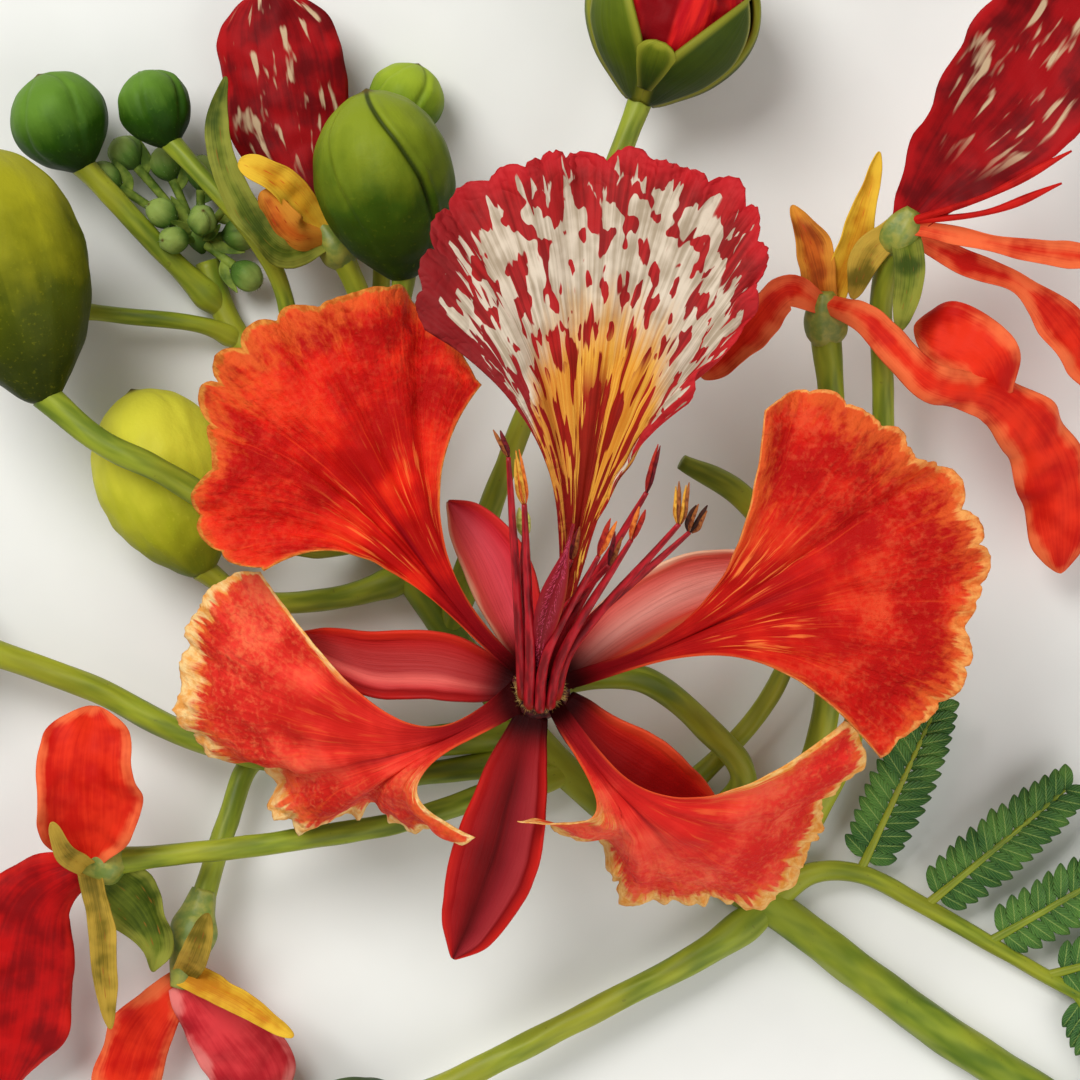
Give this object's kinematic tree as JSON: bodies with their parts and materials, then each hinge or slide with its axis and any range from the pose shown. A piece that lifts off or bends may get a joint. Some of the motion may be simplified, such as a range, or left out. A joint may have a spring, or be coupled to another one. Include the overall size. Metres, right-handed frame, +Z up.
{
  "type": "cut flowering spray of a flame tree",
  "caption": "Cut flame tree spray lying down: an open red bloom with a streaked standard petal, seen face on, round it green buds, older blooms and one feathered leaf on a forked green stalk.",
  "frame": {"origin": "on the surface the spray lies on, under the middle of its box", "axes": "+Z up from that surface, the way the open bloom faces; +Y from the bloom's hub towards its standard petal; +X to the right as the bloom is looked down on"},
  "size_m": [0.1966, 0.171, 0.0543],
  "materials": {
    "petal": "satin, scarlet with orange veins and a paler ragged margin",
    "standard": "satin, white and yellow with dark red streaks, crimson margin",
    "sepal": "satin, crimson inside with a pink sheen",
    "stamen": "satin, dark crimson, with ochre anthers",
    "hub": "short ochre hairs",
    "bud": "smooth skin, yellow-green",
    "stem": "smooth green stalk",
    "tip": "downy, grey-green",
    "withered": "limp, crumpled, red with yellow and brown",
    "leaf": "matt green leaflets"
  },
  "bodies": {
    "root": {"receptacle": "hub", "bloom_pedicel": "stem", "petal_upper_left": "petal", "petal_upper_right": "petal", "petal_lower_right": "petal", "petal_lower_left": "petal", "petal_standard": "standard", "sepal_bottom": "sepal", "sepal_left": "sepal", "sepal_upper_left": "sepal", "sepal_right": "sepal", "sepal_lower_right": "sepal", "pistil": "sepal", "stamen_01": "stamen", "stamen_02": "stamen", "stamen_03": "stamen", "stamen_04": "stamen", "stamen_05": "stamen", "stamen_06": "stamen", "stamen_07": "stamen", "stamen_08": "stamen", "stamen_09": "stamen", "stamen_10": "stamen", "main_stalk": "stem", "bud_a": "bud", "bud_a_pedicel": "stem", "bud_b": "bud", "bud_b_pedicel": "stem", "bud_c": "bud", "bud_c_pedicel": "stem", "bud_d": "bud", "bud_d_pedicel": "stem", "bud_e": "bud", "bud_e_pedicel": "stem", "bud_f": "bud", "bud_f_pedicel": "stem", "bud_k": "bud", "bud_k_pedicel": "stem", "bud_l": "bud", "bud_l_pedicel": "stem", "bud_m": "bud", "bud_m_pedicel": "stem", "opening_bud": "bud", "opening_bud_petals": "standard", "opening_bud_pedicel": "stem", "bare_pedicel": "stem", "side_bloom_left": "withered", "side_bloom_left_pedicel": "stem", "side_bloom_right": "withered", "side_bloom_right_pedicel": "stem", "spent_bloom": "withered", "spent_bloom_pedicel": "stem", "lower_bloom_one": "withered", "lower_bloom_one_pedicel": "stem", "lower_bloom_two": "withered", "lower_bloom_two_pedicel": "stem", "tip_cluster": "tip", "leaf": "leaf"}
  },
  "joints": []
}
